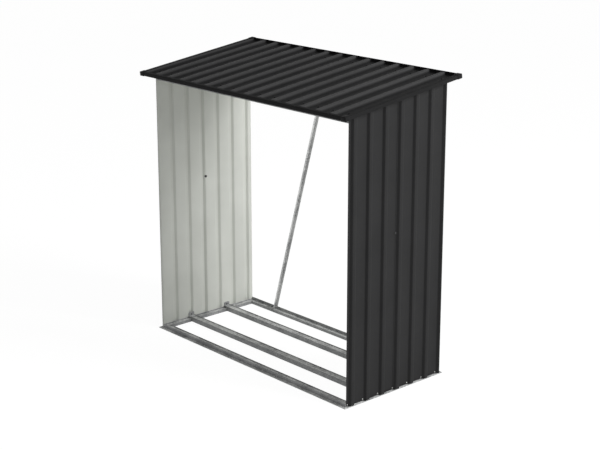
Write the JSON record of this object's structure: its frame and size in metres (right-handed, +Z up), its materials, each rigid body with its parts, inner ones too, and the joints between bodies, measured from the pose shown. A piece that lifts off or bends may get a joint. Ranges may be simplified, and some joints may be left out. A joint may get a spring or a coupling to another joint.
{
  "type": "log store",
  "caption": "Open steel log store: ribbed side walls, a lean-to roof low at the front, open front and rear, and a galvanised floor frame.",
  "frame": {"origin": "on the floor, under the centre of the roof's outline", "axes": "+X to the right as seen from the open low front, +Y to the high rear, +Z up"},
  "size_m": [1.892, 0.9428, 1.8648],
  "materials": {
    "anthracite_paint": "satin anthracite coil coating, pale grey primer on the inside faces",
    "galvanised": "bright galvanised steel"
  },
  "bodies": {
    "root": {"front_floor_rail": "galvanised", "rear_floor_rail": "galvanised", "left_floor_rail": "galvanised", "right_floor_rail": "galvanised", "front_floor_beam": "galvanised", "rear_floor_beam": "galvanised", "front_left_beam_bracket": "galvanised", "front_right_beam_bracket": "galvanised", "rear_left_beam_bracket": "galvanised", "rear_right_beam_bracket": "galvanised", "left_wall_front_sheet": "anthracite_paint", "left_wall_rear_sheet": "anthracite_paint", "right_wall_front_sheet": "anthracite_paint", "right_wall_rear_sheet": "anthracite_paint", "front_roof_beam": "galvanised", "rear_roof_beam": "galvanised", "left_top_rail": "galvanised", "right_top_rail": "galvanised", "left_rear_brace": "galvanised", "right_rear_brace": "galvanised", "roof_sheet_1": "anthracite_paint", "roof_sheet_2": "anthracite_paint", "roof_sheet_3": "anthracite_paint", "roof_sheet_4": "anthracite_paint", "front_roof_trim": "anthracite_paint", "rear_roof_trim": "anthracite_paint", "left_roof_trim": "anthracite_paint", "right_roof_trim": "anthracite_paint", "front_left_corner_cap": "anthracite_paint", "front_right_corner_cap": "anthracite_paint", "rear_left_corner_cap": "anthracite_paint", "rear_right_corner_cap": "anthracite_paint"}
  },
  "joints": []
}
